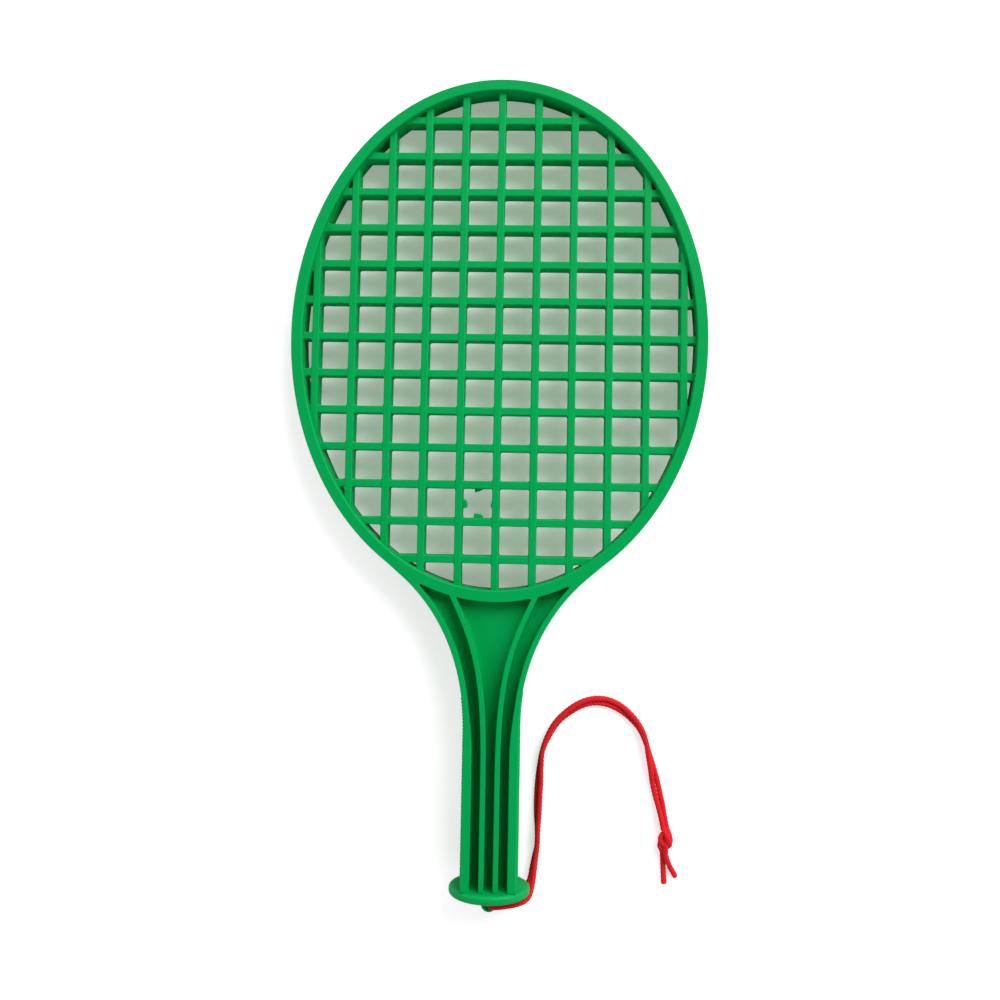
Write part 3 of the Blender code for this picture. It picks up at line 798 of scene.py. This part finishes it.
def build_frame_skin():
    """Hoop, throat and handle in one skin."""
    skin = Skin(racket_top)
    half_x, half_y = HOOP_HALF_WIDTH, HOOP_HALF_LENGTH
    middle, inner_side, outer = throat_edges()
    bottom = HANDLE_END - HANDLE_SUNK
    flare = trimmed(outer, FLARE_BLEND, 0)
    grip = flare[-1, 0]
    corner = GRIP_END_CORNER
    turn = np.linspace(0, math.pi / 2, GRIP_END_POINTS)
    end = (grip - corner, bottom + corner) + corner * np.stack([np.cos(turn), -np.sin(turn)], 1)
    straight = np.linspace((grip, FLARE_END - STRAIGHT_GAP), (grip, end[0, 1] + STRAIGHT_GAP),
                           GRIP_SIDE_POINTS)
    right = np.vstack([flare, straight, end])
    around = trimmed(arc(outer[0], outer[0] * (-1, 1), half_x, half_y, HOOP_SIDES, True),
                     FLARE_BLEND, FLARE_BLEND)
    left = right * (-1, 1)
    outline = [around, blended(around, left), left, right[::-1], blended(right[::-1], around)]
    outline = spaced(turned_left(np.vstack(outline)), OUTLINE_SPACING)
    opening = ellipse(half_x - HOOP_WALL, half_y - HOOP_WALL, HOOP_SIDES)[::-1]
    opening = spaced(opening, UNDIVIDED)

    wall = run_on(outer)
    outer_side = offset_edge(wall, -outer_rib(wall[:, 1])[:, None])
    outer_side[-1, 1] = wall[-1, 1]
    middle, inner_side, outer_side = (
        outside_hoop(edge, half_x, half_y) for edge in (middle, inner_side, outer_side)
    )
    top = arc(inner_side[0], outer_side[0], half_x, half_y, SIDE_POCKET_TOP_POINTS)
    lines = [top, outer_side, np.array([outer_side[-1], inner_side[-1]]), inner_side[::-1]]
    side_pocket = rounded_loop(lines, [POCKET_TIP, POCKET_CORNER, POCKET_CORNER, POCKET_CORNER])
    top = arc(middle[0] * (-1, 1), middle[0], half_x, half_y, MIDDLE_POCKET_TOP_POINTS)
    lines = [top, middle, np.array([middle[-1], middle[-1] * (-1, 1)]), middle[::-1] * (-1, 1)]
    middle_pocket = rounded_loop(lines, [POCKET_TIP, POCKET_CORNER, POCKET_CORNER, POCKET_TIP])
    pockets = [side_pocket, side_pocket * (-1, 1), middle_pocket]
    pockets = [spaced(turned_left(loop)[::-1], OUTLINE_SPACING) for loop in pockets]

    crests = {-1: [], 1: []}
    for loop, rounding, draft in ((outline, OUTER_ROUNDING, OUTLINE_DRAFT),
                                  (opening, EDGE_ROUNDING, OPENING_DRAFT)):
        back, front = wall_rings(skin, loop, rounding, draft)
        crests[-1].append((back, len(loop)))
        crests[1].append((front, len(loop)))
    for loop in pockets:
        for side in (-1, 1):
            floor_ring, crest_ring = pocket_rings(skin, loop, side)
            crests[side].append((crest_ring, len(loop)))
            skin.fill([floor_ring], [len(loop)], side)
    for side in (-1, 1):
        starts, counts = zip(*crests[side])
        skin.fill(starts, counts, side)
    return skin


def lattice_top(y):
    return 0 * y + BAR_DEPTH / 2 - CROSS_BAR_STEP


def bar_top(y):
    return 0 * y + BAR_DEPTH / 2


def clipped(loop, axis, limit, sign):
    """The convex loop's part where sign * coordinate is at least sign * limit."""
    made = []
    for a, b in zip(loop, np.roll(loop, -1, axis=0)):
        a_in, b_in = sign * (a[axis] - limit), sign * (b[axis] - limit)
        if a_in >= 0:
            made.append(a)
        if a_in * b_in < 0:
            made.append(a + (b - a) * a_in / (a_in - b_in))
    return np.array(made)


def at_corners(loop, sharpest):
    """The closed loop as open lines between the corners that turn more than sharpest."""
    keep = np.linalg.norm(np.roll(loop, -1, axis=0) - loop, axis=1) > SHORTEST_SIDE
    loop = loop[keep]
    ahead = np.roll(loop, -1, axis=0) - loop
    ahead /= np.linalg.norm(ahead, axis=1)[:, None]
    turn = np.einsum("ij,ij->i", ahead, np.roll(ahead, 1, axis=0))
    corners = [i for i in range(len(loop)) if turn[i] < math.cos(sharpest)]
    lines = []
    for index, start in enumerate(corners):
        end = corners[(index + 1) % len(corners)]
        if end <= start:
            end += len(loop)
        lines.append(np.array([loop[k % len(loop)] for k in range(start, end + 1)]))
    return lines


def bar_places(count):
    return [(index - (count - 1) / 2) * BAR_PITCH for index in range(count)]


def lattice_cells():
    """Outlines of the lattice's openings, with rounded corners."""
    room = HOOP_WALL - LATTICE_SUNK
    bound = ellipse(HOOP_HALF_WIDTH - room, HOOP_HALF_LENGTH - room, CELL_BOUND_POINTS)
    half, cross_half = BAR_WAIST / 2, CROSS_BAR_WAIST / 2
    columns = [-HOOP_HALF_WIDTH - BAR_PITCH, *bar_places(BARS_ACROSS), HOOP_HALF_WIDTH + BAR_PITCH]
    rows = [-HOOP_HALF_LENGTH - BAR_PITCH, *bar_places(BARS_ALONG), HOOP_HALF_LENGTH + BAR_PITCH]
    cells = []
    for left, right in zip(columns, columns[1:]):
        for low, high in zip(rows, rows[1:]):
            cell = bound
            for axis, limit, sign in ((0, left + half, 1), (0, right - half, -1),
                                      (1, low + cross_half, 1), (1, high - cross_half, -1)):
                if len(cell):
                    cell = clipped(cell, axis, limit, sign)
            if len(cell) < 3:
                continue
            x, y = cell[:, 0], cell[:, 1]
            area = np.sum(x * np.roll(y, -1) - np.roll(x, -1) * y) / 2
            if area < SMALLEST_CELL:
                continue
            lines = at_corners(cell, CELL_CORNER_TURN)
            radii = []
            for line, after in zip(lines, [*lines[1:], lines[0]]):
                sharp = end_way(line, True).dot(end_way(after, False)) < SHARP_TURN
                radii.append(SHARP_CORNER if sharp else CELL_CORNER)
            cells.append(spaced(rounded_loop(lines, radii), CELL_SPACING))
    return cells


def build_lattice_skin():
    skin = Skin(lattice_top)
    rim = HOOP_WALL / 2
    outline = ellipse(HOOP_HALF_WIDTH - rim, HOOP_HALF_LENGTH - rim, LATTICE_RIM_POINTS)
    crests = {-1: [], 1: []}
    walls = [(outline, LATTICE_RIM_ROUNDING)]
    walls.extend((cell[::-1], BAR_ROUNDING) for cell in lattice_cells())
    for loop, rounding in walls:
        back, front = wall_rings(skin, loop, rounding, BAR_DRAFT)
        crests[-1].append((back, len(loop)))
        crests[1].append((front, len(loop)))
    for side in (-1, 1):
        skin.fill(*zip(*crests[side]), side)
    skin.top = bar_top
    half = BAR_WAIST / 2 - BAR_SUNK
    for x in bar_places(BARS_ACROSS):
        reach = (HOOP_HALF_LENGTH - rim) * math.sqrt(1 - (x / (HOOP_HALF_WIDTH - rim)) ** 2)
        left, right = x - half, x + half
        bar = np.array([(right, -reach), (right, reach), (left, reach), (left, -reach)])
        add_slab(skin, spaced(bar, BAR_SPACING), BAR_ROUNDING, BAR_DRAFT)
    return skin


def build_nib_skin():
    skin = Skin(lambda y: 0 * y + NIB_HALF_DEPTH)
    for outline in GATE_NIBS:
        loop = turned_left(np.array(outline) / 1000)
        lines = at_corners(loop, NIB_CORNER_TURN)
        loop = spaced(rounded_loop(lines, NIB_CORNER), NIB_SPACING)
        add_slab(skin, loop, NIB_ROUNDING, 0.0)
    return skin


def build_flange_skin():
    """The oval slab at the butt, lying flat; it is stood up across the handle's end."""
    skin = Skin(lambda y: 0 * y + FLANGE_THICKNESS / 2)
    rim = ellipse(FLANGE_WIDTH / 2, FLANGE_HEIGHT / 2, FLANGE_POINTS)
    add_slab(skin, rim, FLANGE_ROUNDING, 0.0, FLANGE_ROUNDING_STEPS)
    return skin


def build_eyelet_skin():
    """The rounded lug under the flange, with the hole for the cord."""
    skin = Skin(lambda y: 0 * y + EYELET_THICKNESS / 2)
    base = HANDLE_END - SEAM - FLANGE_THICKNESS - SEAM
    centre = base - EYELET_DROP + SEAM
    turn = np.linspace(EYELET_BOWL_START, math.pi - EYELET_BOWL_START, EYELET_BOWL_POINTS)
    bowl = np.stack([EYELET_RADIUS * np.cos(turn), centre - EYELET_RADIUS * np.sin(turn)], 1)
    top = base + EYELET_SUNK
    corners = [(-EYELET_BASE_HALF, base), (-EYELET_BASE_HALF, top),
               (EYELET_BASE_HALF, top), (EYELET_BASE_HALF, base)]
    lug = spaced(turned_left(np.vstack([bowl, corners])), EYELET_SPACING)
    hole = ellipse(EYELET_HOLE_RADIUS, EYELET_HOLE_RADIUS, EYELET_HOLE_POINTS)[::-1]
    hole = hole + (0, centre)
    ends = [wall_rings(skin, loop, EYELET_ROUNDING, 0.0, EYELET_ROUNDING_STEPS)
            for loop in (lug, hole)]
    for side, starts in zip((-1, 1), zip(*ends)):
        skin.fill(starts, [len(lug), len(hole)], side)
    return skin


def build_ridges(side):
    """Rounded ridges across one side wall of the grip, run out at both ends."""
    outer = throat_edges()[2][::-1]
    top = THROAT_END - 2 * SEAM
    y = top - np.arange(RIDGE_COUNT * RIDGE_STEPS + 1) * RIDGE_PITCH / RIDGE_STEPS
    wall = np.interp(y, outer[:, 1], outer[:, 0])
    swell = np.sin(np.pi * (top - y) / RIDGE_PITCH) ** 2
    reach = GRIP_DEPTH / 2 - RIDGE_MARGIN
    fade = np.linspace(0, 1, RIDGE_RUNOUT_POINTS)[::-1]
    share = np.concatenate([[1.0], 1 - (1 - fade) ** 2])
    heights = np.concatenate([[0.0], reach - RIDGE_RUNOUT * fade])
    heights = np.concatenate([-heights[::-1], heights[1:]])
    share = np.concatenate([share[::-1], share[1:]])
    places = []
    for z, part in zip(heights, share):
        draft = RIDGE_DRAFT * abs(z) / (GRIP_DEPTH / 2)
        x = wall - draft - RIDGE_SINK + part * RIDGE_PROUD * swell
        places.append(np.stack([side * x, y, 0 * y + z], 1))
    for z in (heights[-1], heights[0]):
        places.append(np.stack([side * (wall - RIDGE_ROOT), y, 0 * y + z], 1))
    rows, count = len(places), len(y)
    faces = []
    for k in range(rows):
        after = (k + 1) % rows
        for i in range(count - 1):
            quad = (k * count + i, k * count + i + 1, after * count + i + 1, after * count + i)
            faces.append(quad if side < 0 else quad[::-1])
    ends = [[k * count for k in range(rows)], [k * count + count - 1 for k in range(rows)][::-1]]
    faces.extend(tuple(end) if side < 0 else tuple(reversed(end)) for end in ends)
    mesh = bpy.data.meshes.new("grip_ridges")
    mesh.from_pydata(np.vstack(places).tolist(), [], faces)
    matt = mesh.attributes.new("matt", "FLOAT", "POINT")
    matt.data.foreach_set("value", np.ones(len(mesh.vertices), np.float32))
    mesh.validate()
    mesh.shade_smooth()
    mesh.transform(REST)
    return mesh


def shown(name, mesh, material, slot, *nodes):
    piece = bpy.data.objects.new(name, mesh)
    scene.collection.objects.link(piece)
    mesh.materials.clear()
    mesh.materials.append(material)
    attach(piece, "root")
    if nodes:
        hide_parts(*nodes)
    return piece


# Materials

def with_noise(material, scale, detail):
    """A noise texture in the object's own coordinates."""
    nodes, links = material.node_tree.nodes, material.node_tree.links
    place = nodes.new("ShaderNodeTexCoord")
    noise = nodes.new("ShaderNodeTexNoise")
    noise.inputs["Scale"].default_value = scale
    noise.inputs["Detail"].default_value = detail
    links.new(place.outputs["Object"], noise.inputs["Vector"])
    return noise


def ranged(material, source, low, high, socket, source_low=NOISE_LOW, source_high=NOISE_HIGH):
    """Feeds a socket with the source's value, brought between low and high."""
    nodes, links = material.node_tree.nodes, material.node_tree.links
    level = nodes.new("ShaderNodeMapRange")
    level.inputs["From Min"].default_value = source_low
    level.inputs["From Max"].default_value = source_high
    level.inputs["To Min"].default_value = low
    level.inputs["To Max"].default_value = high
    links.new(source, level.inputs["Value"])
    links.new(level.outputs[0], socket)


def mixed(material, factor, first, second):
    """The output of a mix of two colours."""
    nodes, links = material.node_tree.nodes, material.node_tree.links
    mix = nodes.new("ShaderNodeMix")
    mix.data_type = "RGBA"
    links.new(factor, mix.inputs[0])
    for socket, colour in ((mix.inputs[6], first), (mix.inputs[7], second)):
        if isinstance(colour, tuple):
            socket.default_value = (*colour, 1.0)
        else:
            links.new(colour, socket)
    return mix.outputs[2]


def bumped(material, source, distance, strength):
    nodes, links = material.node_tree.nodes, material.node_tree.links
    bump = nodes.new("ShaderNodeBump")
    bump.inputs["Distance"].default_value = distance
    bump.inputs["Strength"].default_value = strength
    links.new(source, bump.inputs["Height"])
    links.new(bump.outputs[0], nodes["Principled BSDF"].inputs["Normal"])


def green_plastic():
    """Semi-gloss moulded plastic: faint flow marks, a fine grain and an uneven gloss. Meshes
    with the attribute matt, the ridges, have no gloss."""
    material = bpy.data.materials.new("green_plastic")
    material.use_nodes = True
    links = material.node_tree.links
    shader = material.node_tree.nodes["Principled BSDF"]
    flow = with_noise(material, *GREEN_FLOW)
    green = mixed(material, flow.outputs[0], GREEN_DEEP, GREEN_BRIGHT)
    links.new(green, shader.inputs["Base Color"])
    wear = with_noise(material, *GREEN_WEAR)
    ranged(material, wear.outputs[0], *GREEN_ROUGHNESS, shader.inputs["Roughness"])
    grain = with_noise(material, *GREEN_GRAIN)
    bumped(material, grain.outputs[0], GREEN_GRAIN_DEPTH, GREEN_GRAIN_STRENGTH)
    matt = material.node_tree.nodes.new("ShaderNodeAttribute")
    matt.attribute_name = "matt"
    specular = shader.inputs["Specular IOR Level"]
    ranged(material, matt.outputs["Fac"], GLOSS, 0.0, specular, 0.0, 1.0)
    shader.inputs["Specular Tint"].default_value = GREEN_GLINT
    return material


def red_cord():
    """Matt braided cord, a little uneven in tone, with painted shade: its colour darkens down in the
    plait's grooves and stays bright on the crests.
    """
    material = bpy.data.materials.new("red_cord")
    material.use_nodes = True
    nodes, links = material.node_tree.nodes, material.node_tree.links
    shader = nodes["Principled BSDF"]
    plait = nodes.new("ShaderNodeAttribute")
    plait.attribute_name = "plait"
    level = nodes.new("ShaderNodeMapRange")
    level.inputs["From Min"].default_value = -1.0
    links.new(plait.outputs["Fac"], level.inputs["Value"])
    mottled = with_noise(material, *RED_MOTTLE)
    wool = mixed(material, mottled.outputs[0], RED_DULL, RED_BRIGHT)
    # Painted shade: the plait's height darkens the colour towards the grooves.
    links.new(mixed(material, level.outputs[0], RED_PAINTED_GROOVE_SHADE, wool), shader.inputs["Base Color"])
    fibres = with_noise(material, *RED_FIBRES)
    bumped(material, fibres.outputs[0], RED_FIBRE_DEPTH, RED_FIBRE_STRENGTH)
    shader.inputs["Roughness"].default_value = RED_ROUGHNESS
    shader.inputs["Specular IOR Level"].default_value = RED_SPECULAR
    shader.inputs["Sheen Weight"].default_value = RED_SHEEN
    shader.inputs["Sheen Tint"].default_value = RED_SHEEN_TINT
    return material


# The cord

def strand_route(lead, side):
    """A strand's own points: its lead from the eyelet, then its side of the pair."""
    route = [Vector(point) for point in lead]
    middles = [Vector((x, y)) for x, y, _ in PAIR_ROUTE]
    for index, (x, y, turned) in enumerate(PAIR_ROUTE):
        before = middles[max(index - 1, 0)]
        after = middles[min(index + 1, len(middles) - 1)]
        along = (after - before).normalized()
        lay = math.radians(turned)
        out = side * PAIR_SPACING / 2 * math.cos(lay)
        rise = PAIR_SPACING * math.sin(lay) if side > 0 else 0.0
        route.append(Vector((x - along.y * out, y + along.x * out, CORD_REST + rise)))
    return route


def even(points, spacing):
    """The open route's points, evenly spaced."""
    line = np.array([tuple(point) for point in points])
    length = np.concatenate([[0], np.cumsum(np.linalg.norm(np.diff(line, axis=0), axis=1))])
    count = int(round(length[-1] / spacing))
    at = np.linspace(0, length[-1], count + 1)
    return np.stack([np.interp(at, length, line[:, k]) for k in range(3)], 1), at


def braided(points, cut_end=False, round_end=False):
    """Places, faces and plait heights of a tube along the points, plaited like the cord."""
    line, at = even(points, CORD_SPACING)
    along = np.gradient(line, axis=0)
    along /= np.linalg.norm(along, axis=1)[:, None]
    side = np.cross(along[0], (0, 0, 1))
    if np.linalg.norm(side) < UPRIGHT:
        side = np.cross(along[0], (1, 0, 0))
    side /= np.linalg.norm(side)
    turn = 2 * np.pi * np.arange(CORD_SIDES) / CORD_SIDES
    rings, heights = [], []
    for here, way, distance in zip(line, along, at):
        side = side - way * side.dot(way)
        side /= np.linalg.norm(side)
        up = np.cross(way, side)
        plait = np.cos(PLAIT_STRANDS * turn) * math.cos(2 * math.pi * distance / PLAIT_PITCH)
        reach = CORD_REST - PLAIT_RELIEF + PLAIT_RELIEF * plait
        left = at[-1] - distance
        if round_end and left < CORD_END_ROUNDING:
            reach = reach * math.sqrt(max(CORD_END_LEAST, 1 - (1 - left / CORD_END_ROUNDING) ** 2))
        if cut_end and left < CORD_FLARE_LENGTH:
            reach = reach * (1 + CORD_FLARE * (1 - left / CORD_FLARE_LENGTH) ** 2)
            if left < CORD_CUT_ROUNDING:
                reach = reach * (1 - CORD_CUT_SHARE * (1 - left / CORD_CUT_ROUNDING) ** 2)
        round_about = np.outer(np.cos(turn), side) + np.outer(np.sin(turn), up)
        rings.append(here + reach[:, None] * round_about)
        heights.append(plait)
    n, count = CORD_SIDES, len(rings)
    faces = []
    for k in range(count - 1):
        for i in range(n):
            j = (i + 1) % n
            faces.append((k * n + i, (k + 1) * n + i, (k + 1) * n + j, k * n + j))
    for i in range(n):
        j = (i + 1) % n
        faces.append((count * n, i, j))
        faces.append((count * n + 1, (count - 1) * n + j, (count - 1) * n + i))
    places = np.vstack(rings + [line[:1], line[-1:]])
    return places, faces, np.concatenate([*heights, [0.0, 0.0]])


def cord_mesh(name, *tubes):
    mesh = bpy.data.meshes.new(name)
    places, faces, heights = [], [], []
    start = 0
    for tube_places, tube_faces, tube_heights in tubes:
        places.append(tube_places)
        heights.append(tube_heights)
        faces.extend(tuple(v + start for v in face) for face in tube_faces)
        start += len(tube_places)
    mesh.from_pydata(np.vstack(places).tolist(), [], faces)
    plait = mesh.attributes.new("plait", "FLOAT", "POINT")
    plait.data.foreach_set("value", np.concatenate(heights).astype(np.float32))
    mesh.validate()
    mesh.shade_smooth()
    mesh.transform(Matrix.Translation(CORD_PLACE))
    return mesh


def show_cord(name, node, *tubes):
    return shown(name, cord_mesh(name, *tubes), CORD, "red_cord", node)


make_camera()
make_world()
make_floor()
make_light("key", KEY_PLACE, KEY_AIM, KEY_SIZE, KEY_POWER)
scene.view_settings.view_transform = "Standard"

PLASTIC = green_plastic()
CORD = red_cord()

front_route = smooth(strand_route(FRONT_LEAD, 1), ROUTE_STEPS)
back_route = smooth(strand_route(BACK_LEAD, -1), ROUTE_STEPS)
left_route = smooth(LEFT_TAIL, ROUTE_STEPS)
right_route = smooth(RIGHT_TAIL, ROUTE_STEPS)
front = show_cord("wrist_cord_front_strand", "cord_front_strand", braided(front_route))
back = show_cord("wrist_cord_back_strand", "cord_back_strand", braided(back_route))
tail_left = show_cord("wrist_cord_left_tail", "cord_tail_left",
                      braided(left_route, cut_end=True))
tail_right = show_cord("wrist_cord_right_tail", "cord_tail_right",
                       braided(right_route, round_end=True))
knot_tubes = []
for strand in KNOT_STRANDS:
    route = [Vector(KNOT_CENTRE) + Vector(place) / 1000 for place in strand]
    knot_tubes.append(braided(smooth(route, ROUTE_STEPS)))
knot = show_cord("wrist_cord_knot", "cord_knot", *knot_tubes)

shown("racket_frame", build_frame_skin().mesh("racket_frame", REST), PLASTIC, "green_plastic",
      "frame_hoop", "throat", "handle")
shown("racket_lattice", build_lattice_skin().mesh("racket_lattice", REST), PLASTIC, "green_plastic",
      "string_grid")
FLANGE_REST = (REST @ Matrix.Translation((0, HANDLE_END - SEAM - FLANGE_THICKNESS / 2, 0))
               @ Matrix.Rotation(math.pi / 2, 4, "X"))
shown("racket_flange", build_flange_skin().mesh("racket_flange", FLANGE_REST), PLASTIC,
      "green_plastic", "butt_flange")
shown("racket_eyelet", build_eyelet_skin().mesh("racket_eyelet", REST), PLASTIC,
      "green_plastic", "cord_eyelet")
shown("gate_nibs", build_nib_skin().mesh("gate_nibs", REST), PLASTIC, "green_plastic")
shown("grip_ridges_left", build_ridges(-1), PLASTIC, "green_plastic")
shown("grip_ridges_right", build_ridges(1), PLASTIC, "green_plastic")
